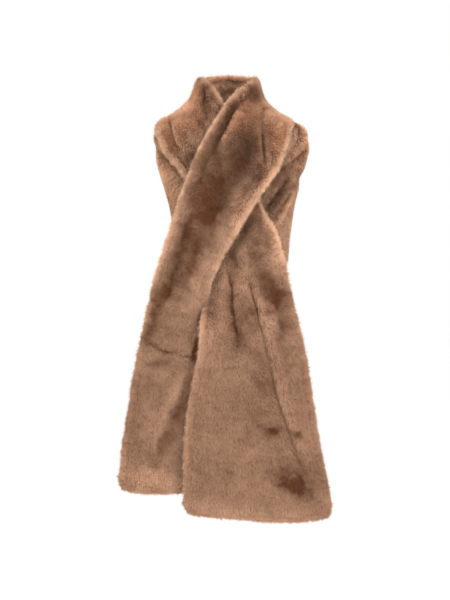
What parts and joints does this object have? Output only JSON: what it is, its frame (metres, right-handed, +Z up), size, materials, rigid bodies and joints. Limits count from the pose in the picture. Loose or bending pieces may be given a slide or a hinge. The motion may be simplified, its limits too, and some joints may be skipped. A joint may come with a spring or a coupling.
{
  "type": "scarf",
  "caption": "Long plush scarf worn round the neck, with a standing collar at the back, crossed once on the chest and hanging to square ends.",
  "frame": {"origin": "the middle of the wearer's neck at the height of its base, where the scarf is held", "axes": "+Z up along the neck, -Y the wearer's front, +X the wearer's left, which is the viewer's right in the picture"},
  "size_m": [0.4704, 0.2866, 0.9972],
  "materials": {
    "back_pile": "dense soft plush pile on both faces",
    "over_pile": "dense soft plush pile on both faces",
    "under_pile": "dense soft plush pile on both faces",
    "label_satin": "blank woven satin tape"
  },
  "bodies": {
    "root": {"collar_stretch": "back_pile", "back_stretch": "back_pile", "over_stretch": "over_pile", "under_stretch": "under_pile", "neck_label": "label_satin"}
  },
  "joints": []
}
